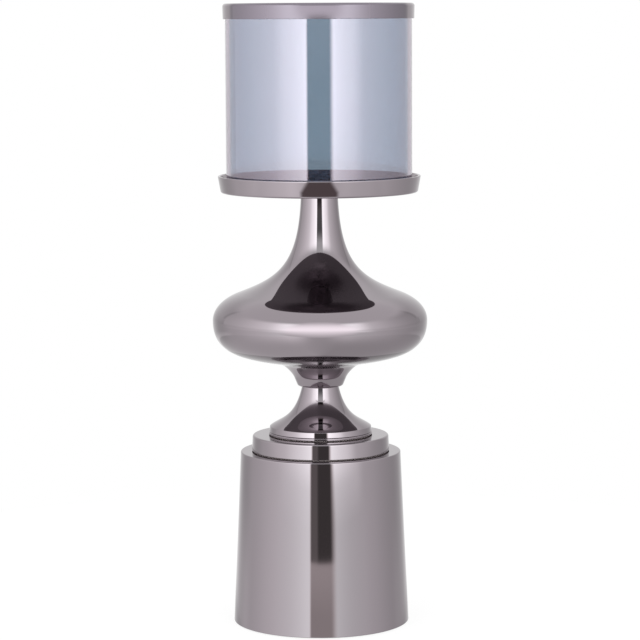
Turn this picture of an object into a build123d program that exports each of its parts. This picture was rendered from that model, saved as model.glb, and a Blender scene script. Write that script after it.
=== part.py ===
import os
from itertools import pairwise
from math import cos, dist, radians, sin, tan

from build123d import *

# Candle lamp with shade: polished shells stacked on a tie rod, and a glass shade that lifts off.
# Millimetres, Z up. The origin is the centre of the felt pad's underside.

# Foot: felt pad, base weight and plinth drum
FELT_THICKNESS = 2.0
FELT_PROUD = 0.8
FELT_MARGIN = 1.0
WEIGHT_LEDGE = 1.0
WEIGHT_WEB = 4.0
WEIGHT_CHAMFER = 1.0
DRUM_BASE_R = 87.0
DRUM_TOP_R = 79.2
DRUM_HEIGHT = 170.2
DRUM_WALL = 2.4
DRUM_TOP = 3.0
DRUM_EDGE = 1.2
DRUM_RIM_EDGE = 0.6
DRUM_INNER_CORNER = 4.0

# Step disc: its side leans in a little, and its foot is cut back to leave a shadow gap
STEP_R = 68.1
STEP_TAPER = 0.8
STEP_HEIGHT = 16.2
STEP_WALL = 4.0
STEP_TOP = 3.0
STEP_EDGE = 2.0
STEP_GAP = 1.0
STEP_GAP_DEPTH = 1.6

# Seat ring under the lower stem
SEAT_PROUD = 0.3
SEAT_HEIGHT = 3.0
SEAT_WIDTH = 7.5
SEAT_EDGE = 0.8
SEAT_GAP = 0.6
SEAT_GAP_DEPTH = 1.6
SPIGOT_HEIGHT = 3.0

# Lower stem: a flare that leaves its foot's edge at a slope and ends nearly upright
STEM_FOOT_R = 50.9
STEM_FOOT_TAPER = 0.8
STEM_FOOT_SIDE = 5.6
STEM_TOP_R = 18.0
STEM_HEIGHT = 45.6
STEM_WALL = 1.6
STEM_TOP_LEAN = radians(-77.6)
STEM_TOP_PULL = 33.0
STEM_FOOT_LEAN = radians(-37.5)
STEM_FOOT_PULL = 13.2
STEM_EDGE = 1.0
STEM_FOOT_EDGE = 0.6
JOINT_LIP = 3.0
JOINT_LIP_WIDTH = 2.4

# Bulb: heights are above its collar's underside, leans are the outline's way down
BULB_HEIGHT = 191.7
BULB_WALL = 1.6
NECK_R = 18.1
NECK_LEAN = radians(-88.3)
NECK_PULL = 72.2
SHOULDER_R = 81.2
SHOULDER_Z = 92.1
SHOULDER_LEAN = radians(-21.1)
SHOULDER_PULL = 43.4
EQUATOR_R = 105.9
EQUATOR_Z = 65.2
EQUATOR_LEAN = radians(-90)
EQUATOR_UPPER_PULL = 3.0
EQUATOR_LOWER_PULL = 36.1
UNDERSIDE_R = 42.5
UNDERSIDE_Z = 23.3
UNDERSIDE_LEAN = radians(-166.1)
UNDERSIDE_OUTER_PULL = 28.3
UNDERSIDE_INNER_PULL = 7.0
COLLAR_R = 25.8
COLLAR_Z = 8.7
COLLAR_LEAN = radians(-112.7)
COLLAR_PULL = 5.0
COLLAR_EDGE = 3.0

# Tray: its wall stands a margin outside the glass
TRAY_MARGIN = 3.2
TRAY_FLARE = 3.0
TRAY_HEIGHT = 16.5
TRAY_WALL = 2.6
TRAY_FLOOR = 2.5
TRAY_CORNER = 2.2
TRAY_INNER_CORNER = 2.0
TRAY_RIM_EDGE = 1.2
CANDLE_SEAT_RISE = 2.5
CANDLE_SEAT_EDGE = 0.8

# Shade: glass tube, bedding and top ring
GLASS_R = 91.2
GLASS_WALL = 4.0
GLASS_HEIGHT = 179.0
GLASS_EDGE = 0.5
SHADE_CLEARANCE = 0.5
BEDDING_THICKNESS = 0.8
BEDDING_SKIRT = 5.0
RING_HEIGHT = 15.2
RING_WEB = 2.0
RING_GAP = 1.0
RING_OUTER_WALL = 1.7
RING_INNER_WALL = 1.5
RING_INNER_LIP = 8.0
RING_TAPER = 0.4
RING_EDGE = 3.0
RING_INNER_EDGE = 0.8
RING_LIP_EDGE = 0.4

# Tie rod, its nuts and washers, and the pieces that centre the stack
ROD_R = 5.0
ROD_CLEARANCE = 0.3
ROD_PAST_NUT = 0.6
ROD_CHAMFER = 0.8
THREAD_CLEARANCE = 0.1
THREAD_RELIEF = 3.0
FIT_CLEARANCE = 0.2
REGISTER_HEIGHT = 1.2
NUT_ACROSS_FLATS = 17.0
NUT_HEIGHT = 8.0
NUT_COVER = 1.0
NUT_SIDES = 6
LOCK_WASHER_R = 9.0
LOCK_WASHER_HEIGHT = 2.2
LOCK_WASHER_SPLIT = 1.5
WEIGHT_WASHER_R = 14.0
STACK_WASHER_R = 22.0
WASHER_HEIGHT = 2.0
RECESS_MARGIN = 2.0
BUSH_FLANGE = 2.2
BUSH_HEAD = 3.0
BUSH_TAIL = 2.0
HUB_HEIGHT = 20.0
HUB_CAP = 4.0
HUB_CHAMFER = 1.0

# How closely an edge has to match the place where it is looked for
EDGE_MATCH = 0.01

# Levels of the stack
clamp_height = WASHER_HEIGHT + LOCK_WASHER_HEIGHT + NUT_HEIGHT
recess_height = clamp_height + NUT_COVER
rim_z = FELT_PROUD
weight_z = FELT_THICKNESS
weight_clamp_z = weight_z + recess_height
weight_top_z = weight_clamp_z + WEIGHT_WEB
drum_top_z = rim_z + DRUM_HEIGHT
stack_clamp_z = drum_top_z - DRUM_TOP
step_top_z = drum_top_z + STEP_HEIGHT
seat_top_z = step_top_z + SEAT_HEIGHT
stem_edge_z = seat_top_z + STEM_FOOT_SIDE
stem_top_z = seat_top_z + STEM_HEIGHT
collar_lip_z = stem_top_z + JOINT_LIP
neck_top_z = stem_top_z + BULB_HEIGHT
hub_z = neck_top_z - HUB_HEIGHT
tray_floor_z = neck_top_z + TRAY_FLOOR
candle_seat_z = tray_floor_z + CANDLE_SEAT_RISE
tray_rim_z = neck_top_z + TRAY_HEIGHT
glass_top_z = tray_floor_z + GLASS_HEIGHT
ring_web_z = glass_top_z + BEDDING_THICKNESS
ring_top_z = ring_web_z + RING_WEB
ring_bottom_z = ring_top_z - RING_HEIGHT


def drum_r(height):
    """Radius of the drum's tapered side at a height."""
    share = (height - rim_z) / DRUM_HEIGHT
    return DRUM_BASE_R + share * (DRUM_TOP_R - DRUM_BASE_R)


def inset(knot, depth):
    """Moves a knot of an outline (radius, height, lean) square to the outline, into the wall."""
    radius, height, lean = knot
    return radius + depth * sin(lean), height - depth * cos(lean), lean


# Knots of the lower stem's and the bulb's outlines
stem_top = (STEM_TOP_R, stem_top_z, STEM_TOP_LEAN)
stem_edge_r = STEM_FOOT_R - STEM_FOOT_TAPER
stem_edge = (stem_edge_r, stem_edge_z, STEM_FOOT_LEAN)
neck = (NECK_R, neck_top_z, NECK_LEAN)
shoulder = (SHOULDER_R, stem_top_z + SHOULDER_Z, SHOULDER_LEAN)
equator = (EQUATOR_R, stem_top_z + EQUATOR_Z, EQUATOR_LEAN)
underside = (UNDERSIDE_R, stem_top_z + UNDERSIDE_Z, UNDERSIDE_LEAN)
collar = (COLLAR_R, stem_top_z + COLLAR_Z, COLLAR_LEAN)

# Radii that two pieces share
rod_hole_r = ROD_R + ROD_CLEARANCE
thread_r = ROD_R + THREAD_CLEARANCE
mouth_r = drum_r(weight_top_z) - DRUM_WALL + WEIGHT_LEDGE
weight_r = mouth_r - FIT_CLEARANCE
step_bore_r = STEP_R - STEP_WALL
stem_bore_r = stem_edge_r - STEM_WALL
spigot_r = stem_bore_r - FIT_CLEARANCE
seat_lip_r = STEM_FOOT_R + SEAT_PROUD
seat_foot_r = seat_lip_r - SEAT_GAP_DEPTH
seat_bore_r = seat_foot_r - SEAT_WIDTH
bush_hole_r = inset(stem_top, STEM_WALL)[0] - JOINT_LIP_WIDTH
bush_r = bush_hole_r - FIT_CLEARANCE
hub_r = inset(neck, BULB_WALL)[0] - FIT_CLEARANCE
glass_bore_r = GLASS_R - GLASS_WALL
candle_seat_r = glass_bore_r - SHADE_CLEARANCE
tray_bore_r = GLASS_R + TRAY_MARGIN
tray_base_r = tray_bore_r + TRAY_WALL
bed_outer_r = GLASS_R + RING_GAP
bed_inner_r = glass_bore_r - RING_GAP
ring_r = bed_outer_r + RING_OUTER_WALL


def smooth_span(start, start_pull, end, end_pull, depth=0):
    """A cubic curve between two knots, or the same curve sunk by a depth into the wall."""
    near = inset(start, depth)
    far = inset(end, depth)
    shrink = dist(near[:2], far[:2]) / dist(start[:2], end[:2])
    leave = start_pull * shrink
    arrive = end_pull * shrink
    return Bezier(
        near[:2],
        (near[0] + leave * cos(near[2]), near[1] + leave * sin(near[2])),
        (far[0] - arrive * cos(far[2]), far[1] - arrive * sin(far[2])),
        far[:2],
    )


def rings(builder, radius, height):
    """The round edges of a part that have this radius and lie at this height."""
    return builder.edges().filter_by(GeomType.CIRCLE).filter_by(
        lambda edge: abs(edge.radius - radius) < EDGE_MATCH
        and abs(edge.arc_center.Z - height) < EDGE_MATCH
    )


def keep(builder, name):
    """Labels a finished piece and writes it."""
    builder.part.label = name
    export_step(builder.part, f"parts/{name}.step")


os.makedirs("parts", exist_ok=True)

# Felt pad
with BuildPart() as felt_pad:
    with BuildSketch(Plane.XY):
        Circle(weight_r - FELT_MARGIN)
    extrude(amount=FELT_THICKNESS)
keep(felt_pad, "felt_pad")

# Base weight, with a recess for the nut that draws it into the drum's mouth
with BuildPart() as base_weight:
    with BuildSketch(Plane.XY.offset(weight_z)):
        Circle(weight_r)
        Circle(WEIGHT_WASHER_R + RECESS_MARGIN, mode=Mode.SUBTRACT)
    extrude(amount=recess_height)
    with BuildSketch(Plane.XY.offset(weight_clamp_z)):
        Circle(weight_r)
        Circle(rod_hole_r, mode=Mode.SUBTRACT)
    extrude(amount=WEIGHT_WEB)
    chamfer(rings(base_weight, weight_r, weight_z), WEIGHT_CHAMFER)
keep(base_weight, "base_weight")

# Plinth drum, with a ledge for the weight and a raised register for the step disc
with BuildPart() as plinth_drum:
    ceiling_r = drum_r(stack_clamp_z) - DRUM_WALL
    register_r = step_bore_r - FIT_CLEARANCE
    with BuildSketch(Plane.XZ):
        with BuildLine():
            Polyline(
                (mouth_r, rim_z),
                (DRUM_BASE_R, rim_z),
                (DRUM_TOP_R, drum_top_z),
                (register_r, drum_top_z),
                (register_r, drum_top_z + REGISTER_HEIGHT),
                (rod_hole_r, drum_top_z + REGISTER_HEIGHT),
                (rod_hole_r, stack_clamp_z),
                (ceiling_r, stack_clamp_z),
                (drum_r(weight_top_z) - DRUM_WALL, weight_top_z),
                (mouth_r, weight_top_z),
                close=True,
            )
        make_face()
    revolve(axis=Axis.Z)
    fillet(rings(plinth_drum, DRUM_TOP_R, drum_top_z), DRUM_EDGE)
    fillet(rings(plinth_drum, DRUM_BASE_R, rim_z), DRUM_RIM_EDGE)
    fillet(rings(plinth_drum, ceiling_r, stack_clamp_z), DRUM_INNER_CORNER)
keep(plinth_drum, "plinth_drum")

# Step disc: a shallow inverted cup whose foot is cut back to leave the shadow gap
with BuildPart() as step_disc:
    register_r = seat_bore_r - FIT_CLEARANCE
    step_edge_r = STEP_R - STEP_TAPER
    with BuildSketch(Plane.XZ):
        with BuildLine():
            Polyline(
                (step_bore_r, drum_top_z),
                (STEP_R - STEP_GAP_DEPTH, drum_top_z),
                (STEP_R - STEP_GAP_DEPTH, drum_top_z + STEP_GAP),
                (STEP_R, drum_top_z + STEP_GAP),
                (step_edge_r, step_top_z),
                (register_r, step_top_z),
                (register_r, step_top_z + REGISTER_HEIGHT),
                (rod_hole_r, step_top_z + REGISTER_HEIGHT),
                (rod_hole_r, step_top_z - STEP_TOP),
                (step_bore_r, step_top_z - STEP_TOP),
                close=True,
            )
        make_face()
    revolve(axis=Axis.Z)
    fillet(rings(step_disc, step_edge_r, step_top_z), STEP_EDGE)
keep(step_disc, "step_disc")

# Seat ring: a rounded lip over its own shadow gap, with a spigot inside the stem
with BuildPart() as stem_seat_ring:
    lip_z = step_top_z + SEAT_GAP
    with BuildSketch(Plane.XZ):
        with BuildLine():
            Polyline(
                (seat_bore_r, step_top_z),
                (seat_foot_r, step_top_z),
                (seat_foot_r, lip_z),
                (seat_lip_r, lip_z),
                (seat_lip_r, seat_top_z),
                (spigot_r, seat_top_z),
                (spigot_r, seat_top_z + SPIGOT_HEIGHT),
                (seat_bore_r, seat_top_z + SPIGOT_HEIGHT),
                close=True,
            )
        make_face()
    revolve(axis=Axis.Z)
    fillet(rings(stem_seat_ring, seat_lip_r, seat_top_z), SEAT_EDGE)
    fillet(rings(stem_seat_ring, seat_lip_r, lip_z), SEAT_EDGE)
keep(stem_seat_ring, "stem_seat_ring")

# Lower stem: a spun flare with a steep foot and a lip turned in at the top
with BuildPart() as lower_stem:
    mitre = STEM_WALL * (1 + sin(STEM_FOOT_LEAN)) / cos(STEM_FOOT_LEAN)
    inner_edge = (stem_bore_r, stem_edge_z - mitre, STEM_FOOT_LEAN)
    inner_top = inset((STEM_TOP_R, stem_top_z - JOINT_LIP, STEM_TOP_LEAN), STEM_WALL)
    with BuildSketch(Plane.XZ):
        with BuildLine():
            smooth_span(stem_top, STEM_TOP_PULL, stem_edge, STEM_FOOT_PULL)
            Polyline(
                stem_edge[:2],
                (STEM_FOOT_R, seat_top_z),
                (stem_bore_r, seat_top_z),
                inner_edge[:2],
            )
            smooth_span(inner_top, STEM_TOP_PULL - JOINT_LIP, inner_edge, STEM_FOOT_PULL)
            Polyline(
                inner_top[:2],
                (bush_hole_r, inner_top[1]),
                (bush_hole_r, stem_top_z),
                stem_top[:2],
            )
        make_face()
    revolve(axis=Axis.Z)
    fillet(rings(lower_stem, stem_edge_r, stem_edge_z), STEM_EDGE)
    fillet(rings(lower_stem, STEM_FOOT_R, seat_top_z), STEM_FOOT_EDGE)
keep(lower_stem, "lower_stem")

# Bulb: neck, shoulder, equator, underside and collar in one spun shell of even wall
with BuildPart() as bulb_body:
    shoulder_reach = (EQUATOR_R - SHOULDER_R) / cos(SHOULDER_LEAN)
    knots = [neck, shoulder, equator, underside, collar]
    pulls = [
        (NECK_PULL, SHOULDER_PULL),
        (shoulder_reach, EQUATOR_UPPER_PULL),
        (EQUATOR_LOWER_PULL, UNDERSIDE_OUTER_PULL),
        (UNDERSIDE_INNER_PULL, COLLAR_PULL),
    ]
    inner_neck = inset(neck, BULB_WALL)
    inner_collar = inset(collar, BULB_WALL)
    collar_foot_r = COLLAR_R - COLLAR_Z / tan(COLLAR_LEAN)
    collar_lip_r = inner_collar[0] - (inner_collar[1] - collar_lip_z) / tan(COLLAR_LEAN)
    with BuildSketch(Plane.XZ):
        with BuildLine():
            for depth in (0, BULB_WALL):
                for (start, end), (leave, arrive) in zip(pairwise(knots), pulls):
                    smooth_span(start, leave, end, arrive, depth)
            Polyline(
                collar[:2],
                (collar_foot_r, stem_top_z),
                (bush_hole_r, stem_top_z),
                (bush_hole_r, collar_lip_z),
                (collar_lip_r, collar_lip_z),
                inner_collar[:2],
            )
            Polyline(neck[:2], (inner_neck[0], neck_top_z), inner_neck[:2])
        make_face()
    revolve(axis=Axis.Z)
    fillet(rings(bulb_body, collar_foot_r, stem_top_z), COLLAR_EDGE)
keep(bulb_body, "bulb_body")

# Bush that centres the bulb's collar on the stem: its head rests on the collar's lip
with BuildPart() as joint_bush:
    tail_z = stem_top_z - JOINT_LIP - BUSH_TAIL
    head_r = bush_r + BUSH_FLANGE
    with BuildSketch(Plane.XZ):
        with BuildLine():
            Polyline(
                (rod_hole_r, tail_z),
                (bush_r, tail_z),
                (bush_r, collar_lip_z),
                (head_r, collar_lip_z),
                (head_r, collar_lip_z + BUSH_HEAD),
                (rod_hole_r, collar_lip_z + BUSH_HEAD),
                close=True,
            )
        make_face()
    revolve(axis=Axis.Z)
keep(joint_bush, "joint_bush")

# Hub under the tray: a tapped boss that fills the neck's mouth
with BuildPart() as tray_hub:
    with BuildSketch(Plane.XY.offset(hub_z)):
        Circle(hub_r)
    extrude(amount=HUB_HEIGHT)
    with BuildSketch(Plane.XY.offset(hub_z)):
        Circle(thread_r)
    extrude(amount=HUB_HEIGHT - HUB_CAP, mode=Mode.SUBTRACT)
    chamfer(rings(tray_hub, hub_r, hub_z), HUB_CHAMFER)
keep(tray_hub, "tray_hub")

# Candle tray: a flared dish with a bullnosed rim and a raised seat inside the glass
with BuildPart() as candle_tray:
    rim_r = tray_base_r + TRAY_FLARE
    inner_rim_r = tray_bore_r + TRAY_FLARE
    with BuildSketch(Plane.XZ):
        with BuildLine():
            Polyline(
                (0, neck_top_z),
                (tray_base_r, neck_top_z),
                (rim_r, tray_rim_z),
                (inner_rim_r, tray_rim_z),
                (tray_bore_r, tray_floor_z),
                (candle_seat_r, tray_floor_z),
                (candle_seat_r, candle_seat_z),
                (0, candle_seat_z),
                close=True,
            )
        make_face()
    revolve(axis=Axis.Z)
    fillet(rings(candle_tray, tray_base_r, neck_top_z), TRAY_CORNER)
    fillet(rings(candle_tray, tray_bore_r, tray_floor_z), TRAY_INNER_CORNER)
    fillet(rings(candle_tray, rim_r, tray_rim_z), TRAY_RIM_EDGE)
    fillet(rings(candle_tray, inner_rim_r, tray_rim_z), TRAY_RIM_EDGE)
    fillet(rings(candle_tray, candle_seat_r, candle_seat_z), CANDLE_SEAT_EDGE)
keep(candle_tray, "candle_tray")

# Glass tube of the shade, with its cut edges eased
with BuildPart() as shade_glass:
    with BuildSketch(Plane.XY.offset(tray_floor_z)):
        Circle(GLASS_R)
        Circle(glass_bore_r, mode=Mode.SUBTRACT)
    extrude(amount=GLASS_HEIGHT)
    chamfer(shade_glass.edges().filter_by(GeomType.CIRCLE), GLASS_EDGE)
keep(shade_glass, "shade_glass")

# Silicone bedding over the glass's upper edge
with BuildPart() as shade_bedding:
    skirt_z = glass_top_z - BEDDING_SKIRT
    with BuildSketch(Plane.XZ):
        with BuildLine():
            Polyline(
                (bed_inner_r, skirt_z),
                (glass_bore_r, skirt_z),
                (glass_bore_r, glass_top_z),
                (GLASS_R, glass_top_z),
                (GLASS_R, skirt_z),
                (bed_outer_r, skirt_z),
                (bed_outer_r, ring_web_z),
                (bed_inner_r, ring_web_z),
                close=True,
            )
        make_face()
    revolve(axis=Axis.Z)
keep(shade_bedding, "shade_bedding")

# Top ring: a channel over the bedding, with a rounded outer shoulder
with BuildPart() as shade_top_ring:
    ring_bore_r = bed_inner_r - RING_INNER_WALL
    ring_foot_r = ring_r - RING_TAPER
    inner_lip_z = ring_top_z - RING_INNER_LIP
    with BuildSketch(Plane.XZ):
        with BuildLine():
            Polyline(
                (bed_outer_r, ring_bottom_z),
                (ring_foot_r, ring_bottom_z),
                (ring_r, ring_top_z),
                (ring_bore_r, ring_top_z),
                (ring_bore_r, inner_lip_z),
                (bed_inner_r, inner_lip_z),
                (bed_inner_r, ring_web_z),
                (bed_outer_r, ring_web_z),
                close=True,
            )
        make_face()
    revolve(axis=Axis.Z)
    fillet(rings(shade_top_ring, ring_r, ring_top_z), RING_EDGE)
    fillet(rings(shade_top_ring, ring_bore_r, ring_top_z), RING_INNER_EDGE)
    fillet(rings(shade_top_ring, ring_foot_r, ring_bottom_z), RING_LIP_EDGE)
keep(shade_top_ring, "shade_top_ring")

# Two clamps on the rod: a plain washer under a face, a split lock washer and a nut
for clamp, face_z, washer_r in (
    ("weight", weight_clamp_z, WEIGHT_WASHER_R),
    ("stack", stack_clamp_z, STACK_WASHER_R),
):
    washer_z = face_z - WASHER_HEIGHT
    lock_washer_z = washer_z - LOCK_WASHER_HEIGHT

    with BuildPart() as washer:
        with BuildSketch(Plane.XY.offset(washer_z)):
            Circle(washer_r)
            Circle(rod_hole_r, mode=Mode.SUBTRACT)
        extrude(amount=WASHER_HEIGHT)
    keep(washer, f"{clamp}_washer")

    with BuildPart() as lock_washer:
        with BuildSketch(Plane.XY.offset(lock_washer_z)):
            Circle(LOCK_WASHER_R)
            Circle(rod_hole_r, mode=Mode.SUBTRACT)
            with Locations((LOCK_WASHER_R, 0)):
                Rectangle(2 * LOCK_WASHER_R, LOCK_WASHER_SPLIT, mode=Mode.SUBTRACT)
        extrude(amount=LOCK_WASHER_HEIGHT)
    keep(lock_washer, f"{clamp}_lock_washer")

    with BuildPart() as nut:
        with BuildSketch(Plane.XY.offset(face_z - clamp_height)):
            RegularPolygon(NUT_ACROSS_FLATS / 2, NUT_SIDES, major_radius=False)
            Circle(thread_r, mode=Mode.SUBTRACT)
        extrude(amount=NUT_HEIGHT)
    keep(nut, f"{clamp}_nut")

# Tie rod, from just below the weight's nut to near the end of the hub's thread
rod_z = weight_clamp_z - clamp_height - ROD_PAST_NUT
rod_top_z = neck_top_z - HUB_CAP - THREAD_RELIEF
with BuildPart() as tie_rod:
    with BuildSketch(Plane.XY.offset(rod_z)):
        Circle(ROD_R)
    extrude(amount=rod_top_z - rod_z)
    chamfer(tie_rod.edges().filter_by(GeomType.CIRCLE), ROD_CHAMFER)
keep(tie_rod, "tie_rod")
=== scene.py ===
from math import atan2, ceil, cos, dist, hypot, pi, radians, sin, tan

import bpy
from mathutils import Matrix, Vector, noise


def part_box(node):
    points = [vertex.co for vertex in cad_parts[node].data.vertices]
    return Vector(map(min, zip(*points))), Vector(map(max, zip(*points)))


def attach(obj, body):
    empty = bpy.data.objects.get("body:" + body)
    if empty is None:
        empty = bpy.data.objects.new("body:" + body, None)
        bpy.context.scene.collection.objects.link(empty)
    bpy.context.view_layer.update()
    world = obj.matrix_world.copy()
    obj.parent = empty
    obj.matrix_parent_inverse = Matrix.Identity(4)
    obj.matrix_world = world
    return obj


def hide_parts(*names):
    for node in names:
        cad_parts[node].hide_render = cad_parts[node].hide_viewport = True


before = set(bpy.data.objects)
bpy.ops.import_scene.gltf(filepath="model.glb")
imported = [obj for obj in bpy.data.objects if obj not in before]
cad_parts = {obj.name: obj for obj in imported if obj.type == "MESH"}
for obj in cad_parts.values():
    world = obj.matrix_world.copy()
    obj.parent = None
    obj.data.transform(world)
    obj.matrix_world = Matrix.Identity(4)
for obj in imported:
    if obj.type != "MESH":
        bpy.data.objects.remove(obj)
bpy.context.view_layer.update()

# Candle lamp with shade: polished pieces are turned from their outlines, on the levels of the frame.
# Sizes are in metres, Z up. The camera stands on the -Y side.
MM = 0.001
SPIN = 224
ARC_STEP = radians(10)
TINY_EDGE = 0.25 * MM
SAME_SPOT = 0.001 * MM
CORNER_SHARE = 0.45
STEM_STEPS = 64
BULB_STEPS = 56
INNER_STEPS = 24
SMOOTH = "SMOOTHSTEP"


def foot(node):
    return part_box(node)[0].z


def top(node):
    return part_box(node)[1].z


def reach(node):
    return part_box(node)[1].x


# Levels and radii that the frame gives
rim_z = foot("plinth_drum")
drum_top_z = foot("step_disc")
step_top_z = foot("stem_seat_ring")
seat_top_z = foot("lower_stem")
stem_top_z = foot("bulb_body")
neck_top_z = foot("candle_tray")
tray_rim_z = top("candle_tray")
tray_floor_z = foot("shade_glass")
glass_top_z = top("shade_glass")
bed_top_z = top("shade_bedding")
ring_top_z = top("shade_top_ring")
ring_foot_z = foot("shade_top_ring")
weight_top_z = top("base_weight")
clamp_z = top("stack_washer")
felt_top_z = top("felt_pad")
drum_base_r = reach("plinth_drum")
step_r = reach("step_disc")
seat_r = reach("stem_seat_ring")
equator_r = reach("bulb_body")
tray_rim_r = reach("candle_tray")
glass_r = reach("shade_glass")
bed_r = reach("shade_bedding")
ring_r = reach("shade_top_ring")
weight_r = reach("base_weight")
felt_r = reach("felt_pad")

# Sizes that the frame doesn't give
FIT = 0.2 * MM
ROD_HOLE_R = 5.3 * MM
REGISTER = 1.2 * MM
DRUM_TOP_R = 79.2 * MM
DRUM_WALL = 2.4 * MM
DRUM_EDGE = 1.2 * MM
DRUM_RIM_EDGE = 0.6 * MM
DRUM_INNER_CORNER = 4.0 * MM
STEP_WALL = 4.0 * MM
STEP_TOP = 3.0 * MM
STEP_TAPER = 0.8 * MM
STEP_EDGE = 2.0 * MM
STEP_GAP = 1.0 * MM
STEP_GAP_DEPTH = 1.6 * MM
SEAT_WIDTH = 7.5 * MM
SEAT_EDGE = 0.8 * MM
SEAT_GAP = 0.6 * MM
SEAT_GAP_DEPTH = 1.6 * MM
SPIGOT = 3.0 * MM
STEM_WALL = 1.6 * MM
STEM_TOP_R = 18.0 * MM
STEM_TOP_LEAN = radians(-77.6)
STEM_TOP_PULL = 33.0 * MM
STEM_FOOT_R = 50.9 * MM
STEM_FOOT_TAPER = 0.8 * MM
STEM_FOOT_SIDE = 5.6 * MM
STEM_FOOT_LEAN = radians(-37.5)
STEM_FOOT_PULL = 13.2 * MM
STEM_EDGE = 1.0 * MM
STEM_FOOT_EDGE = 0.6 * MM
JOINT_LIP = 3.0 * MM
JOINT_LIP_WIDTH = 2.4 * MM
BULB_WALL = 1.6 * MM
NECK_R = 18.1 * MM
NECK_LEAN = radians(-88.3)
NECK_PULL = 72.2 * MM
SHOULDER_R = 81.2 * MM
SHOULDER_Z = 92.1 * MM
SHOULDER_LEAN = radians(-21.1)
SHOULDER_PULL = 43.4 * MM
EQUATOR_Z = 65.2 * MM
EQUATOR_LEAN = radians(-90)
EQUATOR_UPPER_PULL = 3.0 * MM
EQUATOR_LOWER_PULL = 36.1 * MM
UNDERSIDE_R = 42.5 * MM
UNDERSIDE_Z = 23.3 * MM
UNDERSIDE_LEAN = radians(-166.1)
UNDERSIDE_OUTER_PULL = 28.3 * MM
UNDERSIDE_INNER_PULL = 7.0 * MM
COLLAR_R = 25.8 * MM
COLLAR_Z = 8.7 * MM
COLLAR_LEAN = radians(-112.7)
COLLAR_PULL = 5.0 * MM
COLLAR_EDGE = 3.0 * MM
TRAY_WALL = 2.6 * MM
TRAY_FLARE = 3.0 * MM
TRAY_CORNER = 2.2 * MM
TRAY_INNER_CORNER = 2.0 * MM
TRAY_RIM_EDGE = 1.2 * MM
CANDLE_SEAT_RISE = 2.5 * MM
CANDLE_SEAT_EDGE = 0.8 * MM
GLASS_WALL = 4.0 * MM
GLASS_EDGE = 0.5 * MM
SHADE_CLEARANCE = 0.5 * MM
RING_INNER_WALL = 1.5 * MM
RING_INNER_LIP = 8.0 * MM
RING_TAPER = 0.4 * MM
RING_EDGE = 3.0 * MM
RING_INNER_EDGE = 0.8 * MM
RING_LIP_EDGE = 0.4 * MM
FELT_EDGE = 0.7 * MM
FELT_NAP = 0.12 * MM
FELT_NAP_CELLS = 900
FELT_RING_SHARES = (0.25, 0.5, 0.75, 0.9, 0.97)

# Knots of the two spun outlines: radius, height, lean of the way down
stem_top = (STEM_TOP_R, stem_top_z, STEM_TOP_LEAN)
stem_edge = (STEM_FOOT_R - STEM_FOOT_TAPER, seat_top_z + STEM_FOOT_SIDE, STEM_FOOT_LEAN)
neck = (NECK_R, neck_top_z, NECK_LEAN)
shoulder = (SHOULDER_R, stem_top_z + SHOULDER_Z, SHOULDER_LEAN)
equator = (equator_r, stem_top_z + EQUATOR_Z, EQUATOR_LEAN)
underside = (UNDERSIDE_R, stem_top_z + UNDERSIDE_Z, UNDERSIDE_LEAN)
collar = (COLLAR_R, stem_top_z + COLLAR_Z, COLLAR_LEAN)


# Outlines
def left_of(run):
    """The outward normal of a way that goes down the outside and up the inside."""
    return (-run[1], run[0])


def inset(knot, depth):
    """A knot moved square to its outline, into the wall."""
    radius, height, lean = knot
    return (radius + depth * sin(lean), height - depth * cos(lean), lean)


def curve(start, leave, end, arrive, steps, depth=0, inside=False):
    """Rows (radius, height, normal) along the cubic between two knots, or along its inner side, upwards."""
    near = inset(start, depth)
    far = inset(end, depth)
    shrink = dist(near[:2], far[:2]) / dist(start[:2], end[:2])
    pull_out = (near[0] + leave * shrink * cos(near[2]), near[1] + leave * shrink * sin(near[2]))
    pull_in = (far[0] - arrive * shrink * cos(far[2]), far[1] - arrive * shrink * sin(far[2]))
    rows = []
    for step in range(steps + 1):
        t = step / steps
        u = 1 - t
        spot = [
            u**3 * a + 3 * u * u * t * b + 3 * u * t * t * c + t**3 * d
            for a, b, c, d in zip(near, pull_out, pull_in, far)
        ]
        way = [
            u * u * (b - a) + 2 * u * t * (c - b) + t * t * (d - c)
            for a, b, c, d in zip(near, pull_out, pull_in, far)
        ]
        length = hypot(*way)
        normal = left_of((way[0] / length, way[1] / length))
        rows.append((*spot, (-normal[0], -normal[1]) if inside else normal))
    return rows[::-1] if inside else rows


def on_curve(spot):
    return isinstance(spot[2], tuple)


def run(start, end):
    """The way from one spot of an outline to the next, which follows a curve where one of them is on it."""
    for spot in (start, end):
        if on_curve(spot):
            return (spot[2][1], -spot[2][0])
    return (end[0] - start[0], end[1] - start[1])


def rounded(before, corner, after):
    """Rows along the arc that rounds a corner (radius, height, rounding), and how far back the arc begins."""
    into = run(before, corner)
    out = run(corner, after)
    start = atan2(into[1], into[0])
    turn = (atan2(out[1], out[0]) - start + pi) % (2 * pi) - pi
    bend = abs(tan(turn / 2))
    radius = min(corner[2] or TINY_EDGE, CORNER_SHARE * min(hypot(*into), hypot(*out)) / bend)
    setback = radius * bend
    side = 1 if turn > 0 else -1
    way = (cos(start), sin(start))
    square = left_of(way)
    middle = [corner[i] - setback * way[i] + side * radius * square[i] for i in (0, 1)]
    count = max(2, ceil(abs(turn) / ARC_STEP))
    rows = []
    for step in range(count + 1):
        angle = start + turn * step / count
        normal = left_of((cos(angle), sin(angle)))
        rows.append((*(middle[i] - side * radius * normal[i] for i in (0, 1)), normal))
    return rows, setback


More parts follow.
